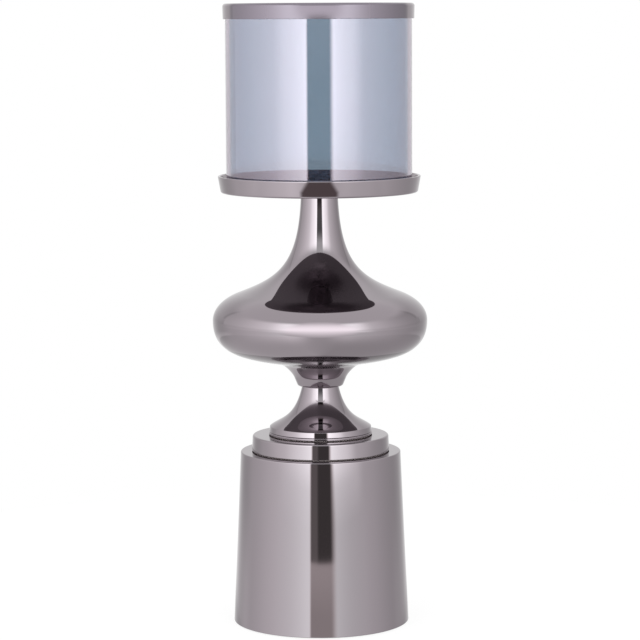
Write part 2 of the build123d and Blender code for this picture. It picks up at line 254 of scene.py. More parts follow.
def outline(*items):
    """A closed outline: corners (radius, height, rounding), and lists of rows that are curves already."""
    spots = []
    for item in items:
        spots += [item] if isinstance(item, tuple) else item
    corners = {
        index: rounded(spots[index - 1], spot, spots[(index + 1) % len(spots)])
        for index, spot in enumerate(spots)
        if not on_curve(spot)
    }
    rows = []
    for index, spot in enumerate(spots):
        if index in corners:
            rows += corners[index][0]
        elif not rows or dist(rows[-1][:2], spot[:2]) > SAME_SPOT and all(
            dist(spots[corner][:2], spot[:2]) > setback for corner, (_, setback) in corners.items()
        ):
            rows.append(spot)
    return rows


# Turned pieces
def lathe(name, rows, turns=SPIN, closed=True):
    """Turns an outline about Z into a mesh that carries the outline's own normals."""
    points, normals, faces, starts = [], [], [], []
    for radius, height, normal in rows:
        starts.append(len(points))
        for turn in range(turns if radius > 0 else 1):
            angle = 2 * pi * turn / turns
            points.append((radius * cos(angle), radius * sin(angle), height))
            normals.append((normal[0] * cos(angle), normal[0] * sin(angle), normal[1]))

    def at(row, turn):
        return starts[row] + (turn % turns if rows[row][0] > 0 else 0)

    for row in range(len(rows) if closed else len(rows) - 1):
        after = (row + 1) % len(rows)
        for turn in range(turns):
            ring = [at(row, turn), at(after, turn), at(after, turn + 1), at(row, turn + 1)]
            faces.append(list(dict.fromkeys(ring)))
    mesh = bpy.data.meshes.new(name)
    mesh.from_pydata(points, [], faces)
    mesh.shade_smooth()
    mesh.normals_split_custom_set_from_vertices(normals)
    piece = bpy.data.objects.new(name, mesh)
    bpy.context.collection.objects.link(piece)
    return piece


def dress(piece, node, body, slot, *materials):
    """Puts a piece in a CAD node's place, with its materials."""
    for material in materials:
        piece.data.materials.append(material)
    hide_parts(node)
    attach(piece, body)


def paint_faces(piece, index, test):
    """Gives a material slot to the faces whose corners all pass a test of radius and height."""
    spots = [(hypot(vertex.co.x, vertex.co.y), vertex.co.z) for vertex in piece.data.vertices]
    for face in piece.data.polygons:
        if all(test(*spots[corner]) for corner in face.vertices):
            face.material_index = index


# Materials
class Shader:
    """A small hand for wiring a node tree."""

    def __init__(self, tree):
        self.tree = tree

    def add(self, kind, settings=None, **sockets):
        node = self.tree.nodes.new(kind)
        for key, value in (settings or {}).items():
            setattr(node, key, value)
        for key, value in sockets.items():
            self.feed(node, key, value)
        return node

    def feed(self, node, key, value):
        """Sets or links an input, which is named, or numbered as i0, i1 and so on."""
        socket = node.inputs[int(key[1:]) if key[1:].isdigit() else key.replace("_", " ")]
        if isinstance(value, bpy.types.NodeSocket):
            self.tree.links.new(value, socket)
        else:
            socket.default_value = value

    def show(self, shader):
        """Wires a shader to the material's output."""
        self.tree.links.new(shader.outputs[0], self.tree.nodes["Material Output"].inputs[0])

    def math(self, operation, *values):
        node = self.add("ShaderNodeMath", {"operation": operation})
        for index, value in enumerate(values):
            self.feed(node, f"i{index}", value)
        return node.outputs[0]

    def spread(self, value, low, high, to_low, to_high, shape="LINEAR"):
        """Maps a value from one range onto another, and holds it at the ends."""
        node = self.add("ShaderNodeMapRange", {"interpolation_type": shape})
        for index, number in enumerate((value, low, high, to_low, to_high)):
            self.feed(node, f"i{index}", number)
        return node.outputs[0]

    def place(self):
        """X, Y and Z in the object's own space."""
        spot = self.add("ShaderNodeTexCoord").outputs["Object"]
        return self.add("ShaderNodeSeparateXYZ", Vector=spot).outputs[:]

    def azimuth(self):
        """The angle about Z in the object's own space, from -Y towards +X."""
        across, along, _ = self.place()
        return self.math("ARCTAN2", across, self.math("MULTIPLY", along, -1.0))

    def mix(self, factor, first, second):
        node = self.add("ShaderNodeMix", {"data_type": "FLOAT"})
        for index, value in ((0, factor), (2, first), (3, second)):
            self.feed(node, f"i{index}", value)
        return node.outputs[0]

    def grain(self, scale, detail, stretch=(1, 1, 1)):
        """Noise in the object's own space; scale is in cells per metre."""
        place = self.add("ShaderNodeTexCoord").outputs["Object"]
        sized = self.add("ShaderNodeMapping", Vector=place, Scale=stretch)
        return self.add("ShaderNodeTexNoise", Vector=sized.outputs[0], Scale=scale, Detail=detail).outputs[0]

    def blend(self, factor, first, second):
        node = self.add("ShaderNodeMix", {"data_type": "RGBA"})
        self.feed(node, "i0", factor)
        for index, colour in ((6, first), (7, second)):
            self.feed(node, f"i{index}", colour if isinstance(colour, bpy.types.NodeSocket) else (*colour, 1))
        return node.outputs[2]

    def bump(self, height, depth):
        return self.add("ShaderNodeBump", Height=height, Distance=depth, Strength=1.0).outputs[0]


def surface(name, **sockets):
    """A material on one Principled shader. Returns the material, its wiring hand and the shader."""
    material = bpy.data.materials.new(name)
    material.use_nodes = True
    wiring = Shader(material.node_tree)
    principled = material.node_tree.nodes["Principled BSDF"]
    for key, value in sockets.items():
        wiring.feed(principled, key, value)
    return material, wiring, principled


# Ranges in which most of a noise lies, for soft marks, for grain and for fibres
MARKS = (0.3, 0.8)
GRAIN = (0.3, 0.7)
FIBRES = (0.2, 0.8)


def grained(name, noise_kind, span, colours, gloss, depth=None, **sockets):
    """A material whose colour and gloss follow one noise, which is also its relief where a depth is given."""
    material, wiring, principled = surface(name, **sockets)
    marks = wiring.grain(*noise_kind)
    wiring.feed(principled, "Base Color", wiring.blend(marks, *colours))
    wiring.feed(principled, "Roughness", wiring.spread(marks, *span, *gloss))
    if depth:
        wiring.feed(principled, "Normal", wiring.bump(marks, depth))
    return material


# Polished gunmetal plating, with faint handling marks and a trace of the spinning
GUNMETAL = (0.315, 0.278, 0.302)
MIRROR_GLOSS = (0.02, 0.05)
SATIN_GLOSS = (0.26, 0.32)
HALF_GLOSS = (0.12, 0.16)
HANDLING = (14, 5)
HANDLED_SHADE = 0.97
SPINNING = (22, 2)
SPINNING_DEPTH = 0.02 * MM


def plated(name):
    """Plating whose tint and gloss are still to be wired."""
    material, wiring, principled = surface(name, Metallic=1.0)
    wiring.feed(principled, "Normal", wiring.bump(wiring.grain(*SPINNING), SPINNING_DEPTH))
    return material, wiring, principled


def gunmetal_of(shade):
    return [shade * value for value in GUNMETAL]


def polished(name, shade, gloss):
    material, wiring, principled = plated(name)
    smudge = wiring.grain(*HANDLING)
    tint = gunmetal_of(shade)
    dark = [HANDLED_SHADE * value for value in tint]
    wiring.feed(principled, "Base Color", wiring.blend(smudge, dark, tint))
    wiring.feed(principled, "Roughness", wiring.spread(smudge, *MARKS, *gloss))
    return material


gunmetal = polished("gunmetal_polished", 1.0, MIRROR_GLOSS)
# Painted light: a lighter copy of the gunmetal for the tray
tray_painted_lighter = polished("gunmetal_tray_painted_lighter", 1.06, MIRROR_GLOSS)
# Painted shade: a darker copy of the gunmetal for the tray's underside
painted_shade_under_tray = polished("gunmetal_painted_shade_under_tray", 0.5, SATIN_GLOSS)
# Painted shade: a darker copy of the gunmetal for the bulb's underside
painted_shade_bulb = polished("gunmetal_painted_shade_bulb", 0.6, HALF_GLOSS)
# Painted shade: a much darker copy of the gunmetal for the tray's inside
painted_shade_tray_inside = polished("gunmetal_painted_shade_tray_inside", 0.25, MIRROR_GLOSS)

# The top ring is satin in front and glossier towards its sides, with a painted highlight, a lighter tint,
# near its sides
SATIN = (0.24, 0.212, 0.25)
SATIN_ROUGHNESS = 0.3
RUBBED_ROUGHNESS = 0.03
SIDE_HIGHLIGHT_SHADE = 1.15
RUBBED_TURN = (radians(25), radians(60))
SIDE_HIGHLIGHT_TURN = (radians(62), radians(68))
satin, wiring, shader = plated("gunmetal_satin")
turned = wiring.math("ABSOLUTE", wiring.azimuth())
roughness = wiring.spread(turned, *RUBBED_TURN, SATIN_ROUGHNESS, RUBBED_ROUGHNESS, SMOOTH)
wiring.feed(shader, "Roughness", roughness)
# Painted highlight: the tint lightens near the ring's sides
side_highlight = wiring.spread(turned, *SIDE_HIGHLIGHT_TURN, 0.0, 1.0, SMOOTH)
wiring.feed(shader, "Base Color", wiring.blend(side_highlight, SATIN, gunmetal_of(SIDE_HIGHLIGHT_SHADE)))

# The shadow gaps get painted shade: a matt grey
painted_gap_shade = grained(
    "painted_gap_shade_grey", (120, 4), GRAIN, ((0.26, 0.23, 0.23), (0.31, 0.27, 0.27)), (0.85, 1.0),
    Specular_IOR_Level=0.05,
)

# Smoked glass: a half-mirror coat outside, whose tint deepens edge-on, and clear tinted glass inside
GLASS_IOR = 1.5
HAZE = (30, 4)
COAT_FRONT = (0.675, 0.56, 0.66)
COAT_SIDE = (0.655, 0.53, 0.635)
COAT_EDGE_ON = (0.565, 0.54, 0.625)
COAT_GLOSS = (0.01, 0.03)
TURNS_TO_SIDE = (0.25, 0.5)
TURNS_EDGE_ON = (0.55, 0.72)
glass_coat, wiring, shader = surface("glass_coat", Metallic=0.25, Transmission_Weight=1.0, IOR=GLASS_IOR)
facing = wiring.add("ShaderNodeLayerWeight", Blend=0.5).outputs["Facing"]
sideways = wiring.spread(facing, *TURNS_TO_SIDE, 0.0, 1.0, SMOOTH)
edge_on = wiring.spread(facing, *TURNS_EDGE_ON, 0.0, 1.0, SMOOTH)
coat_tint = wiring.blend(edge_on, wiring.blend(sideways, COAT_FRONT, COAT_SIDE), COAT_EDGE_ON)
wiring.feed(shader, "Base Color", coat_tint)
wiring.feed(shader, "Roughness", wiring.spread(wiring.grain(*HAZE), *MARKS, *COAT_GLOSS))
glass_clear = grained(
    "glass_clear", HAZE, MARKS, ((0.42, 0.69, 0.74), (0.45, 0.74, 0.79)), (0.005, 0.02),
    Transmission_Weight=1.0, IOR=GLASS_IOR,
)

# Felt, cast iron, plated steel and silicone
felt = grained(
    "felt_black", (1400, 6), FIBRES, ((0.025, 0.025, 0.028), (0.075, 0.075, 0.08)), (0.88, 1.0),
    depth=0.3 * MM, Sheen_Weight=0.4, Sheen_Roughness=0.5,
)
cast_iron = grained(
    "cast_iron_black", (420, 8), GRAIN, ((0.06, 0.06, 0.065), (0.14, 0.14, 0.145)), (0.5, 0.8),
    depth=0.4 * MM, Metallic=0.6,
)
steel = grained(
    "steel_plated", (260, 6, (1, 1, 14)), GRAIN, ((0.48, 0.49, 0.5), (0.62, 0.62, 0.61)), (0.25, 0.42),
    depth=0.03 * MM, Metallic=1.0,
)
silicone = grained(
    "silicone_dark", (300, 4), GRAIN, ((0.08, 0.08, 0.085), (0.12, 0.12, 0.125)), (0.45, 0.6),
    Specular_IOR_Level=0.35,
)

for node, material in {
    "base_weight": cast_iron,
    "shade_bedding": silicone,
    "tie_rod": steel,
    "tray_hub": steel,
    "joint_bush": steel,
    "stack_washer": steel,
    "stack_lock_washer": steel,
    "stack_nut": steel,
    "weight_washer": steel,
    "weight_lock_washer": steel,
    "weight_nut": steel,
}.items():
    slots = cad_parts[node].data.materials
    slots.clear()
    slots.append(material)

# Plinth drum
mouth_r = weight_r + FIT
step_bore_r = step_r - STEP_WALL
register_r = step_bore_r - FIT


def drum_r(height):
    share = (height - rim_z) / (drum_top_z - rim_z)
    return drum_base_r + share * (DRUM_TOP_R - drum_base_r)


drum = lathe("drum_shell", outline(
    (ROD_HOLE_R, drum_top_z + REGISTER, 0),
    (register_r, drum_top_z + REGISTER, 0),
    (register_r, drum_top_z, 0),
    (DRUM_TOP_R, drum_top_z, DRUM_EDGE),
    (drum_base_r, rim_z, DRUM_RIM_EDGE),
    (mouth_r, rim_z, 0),
    (mouth_r, weight_top_z, 0),
    (drum_r(weight_top_z) - DRUM_WALL, weight_top_z, 0),
    (drum_r(clamp_z) - DRUM_WALL, clamp_z, DRUM_INNER_CORNER),
    (ROD_HOLE_R, clamp_z, 0),
))
dress(drum, "plinth_drum", "stand", "polished_metal", gunmetal)

# Step disc, with painted shade (matt grey) in the gap under its edge
seat_foot_r = seat_r - SEAT_GAP_DEPTH
seat_bore_r = seat_foot_r - SEAT_WIDTH
step_gap_z = drum_top_z + STEP_GAP
step = lathe("step_shell", outline(
    (ROD_HOLE_R, step_top_z + REGISTER, 0),
    (seat_bore_r - FIT, step_top_z + REGISTER, 0),
    (seat_bore_r - FIT, step_top_z, 0),
    (step_r - STEP_TAPER, step_top_z, STEP_EDGE),
    (step_r, step_gap_z, 0),
    (step_r - STEP_GAP_DEPTH, step_gap_z, 0),
    (step_r - STEP_GAP_DEPTH, drum_top_z, 0),
    (step_bore_r, drum_top_z, 0),
    (step_bore_r, step_top_z - STEP_TOP, 0),
    (ROD_HOLE_R, step_top_z - STEP_TOP, 0),
))
dress(step, "step_disc", "stand", "polished_metal", gunmetal, painted_gap_shade)
paint_faces(step, 1, lambda r, z: r < step_r - TINY_EDGE / 2 and z < step_gap_z + TINY_EDGE / 2)

# Seat ring, with painted shade (matt grey) in the gap and up to the share of its edge that the gap's shadow
# takes
SHADOWED_EDGE = 0.7
spigot_r = stem_edge[0] - STEM_WALL - FIT
lip_z = step_top_z + SEAT_GAP
seat_ring = lathe("seat_ring", outline(
    (seat_bore_r, seat_top_z + SPIGOT, 0),
    (spigot_r, seat_top_z + SPIGOT, 0),
    (spigot_r, seat_top_z, 0),
    (seat_r, seat_top_z, SEAT_EDGE),
    (seat_r, lip_z, SEAT_EDGE),
    (seat_foot_r, lip_z, 0),
    (seat_foot_r, step_top_z, 0),
    (seat_bore_r, step_top_z, 0),
))
dress(seat_ring, "stem_seat_ring", "stand", "polished_metal", gunmetal, painted_gap_shade)
paint_faces(seat_ring, 1, lambda r, z: r > seat_bore_r + SAME_SPOT and z < lip_z + SHADOWED_EDGE * SEAT_EDGE)

# Lower stem
bush_hole_r = inset(stem_top, STEM_WALL)[0] - JOINT_LIP_WIDTH
mitre = STEM_WALL * (1 + sin(STEM_FOOT_LEAN)) / cos(STEM_FOOT_LEAN)
inner_edge = (stem_edge[0] - STEM_WALL, stem_edge[1] - mitre, STEM_FOOT_LEAN)
inner_top = inset((STEM_TOP_R, stem_top_z - JOINT_LIP, STEM_TOP_LEAN), STEM_WALL)
stem = lathe("stem_flare", outline(
    (*stem_top[:2], 0),
    curve(stem_top, STEM_TOP_PULL, stem_edge, STEM_FOOT_PULL, STEM_STEPS),
    (*stem_edge[:2], STEM_EDGE),
    (STEM_FOOT_R, seat_top_z, STEM_FOOT_EDGE),
    (inner_edge[0], seat_top_z, 0),
    (*inner_edge[:2], 0),
    curve(inner_top, STEM_TOP_PULL - JOINT_LIP, inner_edge, STEM_FOOT_PULL, INNER_STEPS, inside=True),
    (*inner_top[:2], 0),
    (bush_hole_r, inner_top[1], 0),
    (bush_hole_r, stem_top_z, 0),
))
dress(stem, "lower_stem", "stand", "polished_metal", gunmetal)

# Bulb, with painted shade in a darker field on its underside, whose limits are shares of the widest radius
DARK_REACH = 0.9
DARK_DROP = 0.2
shoulder_reach = (equator_r - SHOULDER_R) / cos(SHOULDER_LEAN)
spans = (
    (neck, NECK_PULL, shoulder, SHOULDER_PULL),
    (shoulder, shoulder_reach, equator, EQUATOR_UPPER_PULL),
    (equator, EQUATOR_LOWER_PULL, underside, UNDERSIDE_OUTER_PULL),
    (underside, UNDERSIDE_INNER_PULL, collar, COLLAR_PULL),
)
outside = [row for span in spans for row in curve(*span, BULB_STEPS)]
inside = [row for span in reversed(spans) for row in curve(*span, INNER_STEPS, BULB_WALL, inside=True)]
lip_top_z = stem_top_z + JOINT_LIP
inner_collar = inset(collar, BULB_WALL)
inner_neck = inset(neck, BULB_WALL)
bulb = lathe("bulb_shell", outline(
    (*neck[:2], 0),
    outside,
    (COLLAR_R - (collar[1] - stem_top_z) / tan(COLLAR_LEAN), stem_top_z, COLLAR_EDGE),
    (bush_hole_r, stem_top_z, 0),
    (bush_hole_r, lip_top_z, 0),
    (inner_collar[0] - (inner_collar[1] - lip_top_z) / tan(COLLAR_LEAN), lip_top_z, 0),
    inside,
    (inner_neck[0], neck_top_z, 0),
))
dress(bulb, "bulb_body", "stand", "polished_metal", gunmetal, painted_shade_bulb)
dark_r = DARK_REACH * equator_r
dark_foot_z = underside[1] - SAME_SPOT
dark_top_z = equator[1] - DARK_DROP * equator_r
paint_faces(bulb, 1, lambda r, z: r < dark_r and dark_foot_z < z < dark_top_z)

# Candle tray in a lighter copy of the gunmetal (painted light), with painted shade on its satin underside
# and, darker still, on its inside
tray_base_r = tray_rim_r - TRAY_FLARE
tray_bore_r = tray_base_r - TRAY_WALL
candle_seat_r = glass_r - GLASS_WALL - SHADE_CLEARANCE
candle_seat_z = tray_floor_z + CANDLE_SEAT_RISE
tray_rows = outline(
    (0, neck_top_z, 0),
    (0, candle_seat_z, 0),
    (candle_seat_r, candle_seat_z, CANDLE_SEAT_EDGE),
    (candle_seat_r, tray_floor_z, 0),
    (tray_bore_r, tray_floor_z, TRAY_INNER_CORNER),
    (tray_bore_r + TRAY_FLARE, tray_rim_z, TRAY_RIM_EDGE),
    (tray_rim_r, tray_rim_z, TRAY_RIM_EDGE),
    (tray_base_r, neck_top_z, TRAY_CORNER),
)
off_axis = [row for row in tray_rows if row[0] > candle_seat_r / 2]
tray = lathe(
    "tray_dish",
    [(0, candle_seat_z, (0, 1)), *off_axis, (0, neck_top_z, (0, -1))],
    closed=False,
)
dress(tray, "candle_tray", "stand", "polished_metal", tray_painted_lighter, painted_shade_under_tray, painted_shade_tray_inside)
paint_faces(tray, 1, lambda r, z: z < neck_top_z + SAME_SPOT)
paint_faces(tray, 2, lambda r, z: r < tray_bore_r and z > neck_top_z + SAME_SPOT)

# Glass shade: the outer wall carries the coat
COAT_DEPTH = GLASS_EDGE / 20
glass_bore_r = glass_r - GLASS_WALL
glass = lathe("glass_tube", outline(
    (glass_bore_r, glass_top_z, GLASS_EDGE),
    (glass_r, glass_top_z, GLASS_EDGE),
    (glass_r, tray_floor_z, GLASS_EDGE),
    (glass_bore_r, tray_floor_z, GLASS_EDGE),
))
dress(glass, "shade_glass", "shade", "smoked_glass", glass_clear, glass_coat)
paint_faces(glass, 1, lambda r, z: r > glass_r - COAT_DEPTH)

# Top ring
bed_inner_r = glass_bore_r - (bed_r - glass_r)
ring_bore_r = bed_inner_r - RING_INNER_WALL
ring = lathe("top_ring", outline(
    (ring_bore_r, ring_top_z, RING_INNER_EDGE),
    (ring_r, ring_top_z, RING_EDGE),
    (ring_r - RING_TAPER, ring_foot_z, RING_LIP_EDGE),
    (bed_r, ring_foot_z, 0),
    (bed_r, bed_top_z, 0),
    (bed_inner_r, bed_top_z, 0),
    (bed_inner_r, ring_top_z - RING_INNER_LIP, 0),
    (ring_bore_r, ring_top_z - RING_INNER_LIP, 0),
))
dress(ring, "shade_top_ring", "shade", "polished_metal", satin)

# Felt disc, with an uneven nap round its edge and underside
felt_rings = [felt_r * share for share in FELT_RING_SHARES]
felt_rows = outline((0, 0, 0), (0, felt_top_z, 0), (felt_r, felt_top_z, FELT_EDGE), (felt_r, 0, FELT_EDGE))
felt_disc = lathe(
    "felt_disc",
    [
        (0, felt_top_z, (0, 1)),
        *((r, felt_top_z, (0, 1)) for r in felt_rings),
        *(row for row in felt_rows if row[0] > felt_r / 2),
        *((r, 0, (0, -1)) for r in reversed(felt_rings)),
        (0, 0, (0, -1)),
    ],
    closed=False,
)
for vertex in felt_disc.data.vertices:
    nap = FELT_NAP * (1 + noise.noise(FELT_NAP_CELLS * vertex.co)) / 2
    edge = hypot(vertex.co.x, vertex.co.y)
    if edge > felt_rings[-1]:
        vertex.co.x *= 1 - nap / edge
        vertex.co.y *= 1 - nap / edge
    elif vertex.co.z < felt_top_z / 2:
        vertex.co.z += nap / 2
dress(felt_disc, "felt_pad", "stand", "felt", felt)

# Studio: side lights and a backdrop on a round wall, with a dark gap behind the camera.
# It shows in the metal and the glass, but not to the camera.
# Turns are in degrees from the middle of the front. Two numbers are the start and the end of a range,
# or what is used on the left and on the right.
WALL_R = 2.75
WALL_FOOT = -0.55
WALL_MIDDLE = 0.6
WALL_TOP = 2.7
STAGE_TURNS = 96
PINHOLE_R = 1 * MM
SIDES_MEET = 20


class WallShader(Shader):
    """Wiring for the round wall, where values change with the height, the turn and the side."""

    def __init__(self, tree):
        super().__init__(tree)
        self.across, self.along, self.up = self.place()
        self.angle = self.azimuth()
        self.turned = self.math("ABSOLUTE", self.angle)

    def by_height(self, heights, below, above, shape="LINEAR"):
        return self.spread(self.up, *heights, below, above, shape)

    def by_turn(self, turns, before, after, shape="LINEAR"):
        return self.spread(self.turned, *map(radians, turns), before, after, shape)

    def by_angle(self, angles, left, right, shape="LINEAR"):
        """A value that changes between two turns, from left to right; turns to the left are negative."""
        return self.spread(self.angle, *map(radians, angles), left, right, shape)

    def between(self, rise, end, value):
        """A value that holds between two ranges of height, and is nothing below and above them."""
        return self.by_height(rise, 0.0, self.by_height(end, value, 0.0))

    def sided(self, left, right):
        return self.by_angle((-SIDES_MEET, SIDES_MEET), left, right)

    def from_axis(self):
        square = self.math("MULTIPLY", self.along, self.along)
        return self.math("SQRT", self.math("MULTIPLY_ADD", self.across, self.across, square))


def emitter(name, hand=Shader):
    """A material on one Emission shader. Returns the material, its wiring hand and the shader."""
    material = bpy.data.materials.new(name)
    material.use_nodes = True
    material.node_tree.nodes.clear()
    wiring = hand(material.node_tree)
    light = wiring.add("ShaderNodeEmission")
    wiring.add("ShaderNodeOutputMaterial")
    wiring.show(light)
    return material, wiring, light


def studio(piece, material):
    """A lit stage piece that the camera and the glass look straight through."""
    piece.data.materials.append(material)
    piece.visible_camera = False
    piece.visible_transmission = False


def band(name, rows):
    """An open turned surface that faces inwards."""
    return lathe(name, [(r, z, (-1, 0)) for r, z in rows], STAGE_TURNS, closed=False)


# Side lights: a glow that falls off from the front, raised where two tall boxes stand, and a fill
GLOW_START = 14
GLOW_REACH = (60, 52)
GLOW_LEVEL = (1.32, 0.88)
BOX_FOOT = (-0.1, -0.03)
BOX_FOOT_SHARE = 0.35
BOX_RISE = (0.0, 0.5)
BOX_TURN = (40, 60)
BOX_BEYOND = (0.6, 0.4)
BOX_GAIN = (1.23, 2.35)
FILL_TURN = (60, 125)
FILL_FRONT = 0.66
FILL_BACK = (0.52, 0.44)
LOW_FILL_HEIGHT = (-0.05, 0.25)
LOW_FILL_TURN = (40, 80)
LOW_FILL = 0.1


def side_lights(wall):
    slope = wall.sided(*(-1 / radians(turn) for turn in GLOW_REACH))
    fall = wall.math("MULTIPLY", wall.math("SUBTRACT", wall.turned, radians(GLOW_START)), slope)
    glow = wall.math("MULTIPLY", wall.math("EXPONENT", fall), wall.sided(*GLOW_LEVEL))
    box_foot = wall.by_height(BOX_FOOT, 0.0, BOX_FOOT_SHARE, SMOOTH)
    box_rise = wall.by_height(BOX_RISE, 0.0, 1 - BOX_FOOT_SHARE, SMOOTH)
    box_height = wall.math("ADD", box_foot, box_rise)
    box_width = wall.by_turn(BOX_TURN, 1.0, wall.sided(*BOX_BEYOND), SMOOTH)
    box = wall.math("MULTIPLY", box_height, box_width)
    gain = wall.math("MULTIPLY_ADD", box, wall.sided(*BOX_GAIN), 1.0)
    fill = wall.by_turn(FILL_TURN, FILL_FRONT, wall.sided(*FILL_BACK))
    low_fill = wall.by_height(LOW_FILL_HEIGHT, wall.by_turn(LOW_FILL_TURN, 0.0, LOW_FILL), 0.0)
    return wall.math("MULTIPLY_ADD", glow, gain, wall.math("ADD", fill, low_fill))


# Backdrop behind the lamp. The joint with the side lights differs from side to side low down,
# is sharp in the middle, and has a faint dark line high up.
JOINT_TURN = (123.5, 133)
HIGH_JOINT_TURN = 127.5
JOINT_EVENS_OUT = (0.7, 0.9)
JOINT_SHARPENS = (0.1, 0.25)
JOINT_SOFTENS = (0.6, 0.8)
LOW_JOINT_FADE = 15
MIDDLE_JOINT_FADE = 1.5
HIGH_JOINT_FADE = 6
JOINT_LINE_HEIGHT = (0.75, 0.9)
JOINT_LINE_SIDE = (1.5, 4)
JOINT_LINE_SHADE = 0.82
BACKDROP_TURN = (140, 175)
BACKDROP_EDGE_HEIGHT = (0.2, 0.9)
BACKDROP_EDGE = (0.65, 0.79)
BACKDROP_MIDDLE = 0.87


def with_backdrop(wall, lit):
    joint = wall.by_height(JOINT_EVENS_OUT, wall.sided(*map(radians, JOINT_TURN)), radians(HIGH_JOINT_TURN))
    fade = wall.by_height(JOINT_SHARPENS, radians(LOW_JOINT_FADE), radians(MIDDLE_JOINT_FADE))
    fade = wall.by_height(JOINT_SOFTENS, fade, radians(HIGH_JOINT_FADE))
    start = wall.math("SUBTRACT", joint, fade)
    end = wall.math("ADD", joint, fade)
    past_joint = wall.spread(wall.turned, start, end, 0.0, 1.0, SMOOTH)
    edge = wall.by_height(BACKDROP_EDGE_HEIGHT, *BACKDROP_EDGE)
    backdrop = wall.by_turn(BACKDROP_TURN, edge, BACKDROP_MIDDLE)
    lit = wall.mix(past_joint, lit, backdrop)
    aside = wall.math("ABSOLUTE", wall.math("SUBTRACT", wall.turned, radians(HIGH_JOINT_TURN)))
    shade = wall.by_height(JOINT_LINE_HEIGHT, 1.0, JOINT_LINE_SHADE)
    return wall.math("MULTIPLY", lit, wall.spread(aside, *map(radians, JOINT_LINE_SIDE), shade, 1.0))


# Lighter fields: low down behind the lamp, and in front at the foot of the boxes
LOW_FIELD_RISE = (-0.56, -0.52)
LOW_FIELD_END = (-0.42, -0.25)
LOW_FIELD_TURN = (105, 125)
LOW_FIELD_GAIN = (0.25, 0.15)
FRONT_FIELD_RISE = (-0.17, -0.1)
FRONT_FIELD_END = (0.08, 0.15)
FRONT_FIELD_TURN = (50, 64)
FRONT_FIELD_GAIN = (0.05, 0.19)


def with_fields(wall, lit):
    low = wall.between(LOW_FIELD_RISE, LOW_FIELD_END, wall.sided(*LOW_FIELD_GAIN))
    lit = wall.math("MULTIPLY_ADD", lit, wall.by_turn(LOW_FIELD_TURN, 0.0, low, SMOOTH), lit)
    front = wall.between(FRONT_FIELD_RISE, FRONT_FIELD_END, wall.sided(*FRONT_FIELD_GAIN))
    return wall.math("MULTIPLY_ADD", lit, wall.by_turn(FRONT_FIELD_TURN, front, 0.0, SMOOTH), lit)


# Dark gap behind the camera, over the edge of a floor
GAP_LEFT = (-16, -12.5)
GAP_RIGHT = (12, 18.5)
GAP_RIGHT_LOW_END = 22
GAP_NARROWS = (-0.15, 0.0)
GAP_PARTS = (-6, -3)
GAP_FOOT_LEVEL = (0.27, 0.11)
GAP_DARKENS = (0.08, 0.2)
GAP_DARKEST = 0.03
GAP_LIFTS = (0.45, 0.65)
GAP_LIFTED = 0.2
GAP_ENDS = (1.1, 1.85)
GAP_END_LEVEL = 0.97
FLOOR_LINE = (-0.238, -0.232)
FLOOR_BRIGHTENS = (-0.338, -0.238)
FLOOR_DIMS = (-0.5, -0.4)
FLOOR_NEAR = 0.95
FLOOR_MIDDLE = 0.66
FLOOR_EDGE = 0.86
GAP_TINT_RISE = (-0.45, -0.4)
GAP_TINT_END = (0.5, 0.8)


def in_dark_gap(wall):
    right_start, right_end = map(radians, GAP_RIGHT)
    narrowing_end = wall.by_height(GAP_NARROWS, radians(GAP_RIGHT_LOW_END), right_end)
    left = wall.by_angle(GAP_LEFT, 0.0, 1.0, SMOOTH)
    right = wall.spread(wall.angle, right_start, narrowing_end, 1.0, 0.0, SMOOTH)
    return wall.math("MULTIPLY", left, right)


def gap_light(wall):
    level = wall.by_angle(GAP_PARTS, *GAP_FOOT_LEVEL)
    level = wall.by_height(GAP_DARKENS, level, GAP_DARKEST)
    level = wall.by_height(GAP_LIFTS, level, GAP_LIFTED)
    level = wall.by_height(GAP_ENDS, level, GAP_END_LEVEL, SMOOTH)
    floor = wall.by_height(FLOOR_DIMS, FLOOR_NEAR, FLOOR_MIDDLE)
    floor = wall.by_height(FLOOR_BRIGHTENS, floor, FLOOR_EDGE)
    return wall.by_height(FLOOR_LINE, floor, level)


# The wall with its ground, which the gap's light spreads over ahead, and its way into the ceiling
GROUND_HEIGHT = (WALL_FOOT, WALL_FOOT + 0.06)
GROUND_SHADE = 0.93
AHEAD_TURN = (4, 36)
NEARBY = (0.6, WALL_R)
NEARBY_LEVEL = (0.92, 0.72)
CEILING_HEIGHT = (1.7, WALL_TOP)
CEILING_LEVEL = 1.05
COOL_TURN = (20, 70)
WHITE = (1, 1, 1)
COOL_TINT = (0.975, 1.02, 1.0)
WARM_TINT = (1, 0.93, 0.9)
wall_light, wall, light = emitter("wall_light", WallShader)
lit = with_fields(wall, with_backdrop(wall, side_lights(wall)))
in_gap = in_dark_gap(wall)
on_ground = wall.by_height(GROUND_HEIGHT, 1.0, 0.0)
ahead = wall.by_turn(AHEAD_TURN, 1.0, 0.0, SMOOTH)
around = wall.mix(wall.mix(on_ground, in_gap, ahead), lit, gap_light(wall))
around = wall.mix(wall.by_height(CEILING_HEIGHT, 0.0, 1.0, SMOOTH), around, CEILING_LEVEL)
around = wall.math("MULTIPLY", around, wall.spread(on_ground, 0.0, 1.0, 1.0, GROUND_SHADE))
nearby = wall.spread(wall.from_axis(), *NEARBY, 1.0, 0.0, SMOOTH)
wall.feed(light, "Strength", wall.mix(nearby, around, wall.sided(*NEARBY_LEVEL)))
cool = wall.by_turn(COOL_TURN, wall.math("SUBTRACT", 1.0, on_ground), 0.0)
warm = wall.math("MULTIPLY", in_gap, wall.between(GAP_TINT_RISE, GAP_TINT_END, 1.0))
wall.feed(light, "Color", wall.blend(warm, wall.blend(cool, WHITE, COOL_TINT), WARM_TINT))
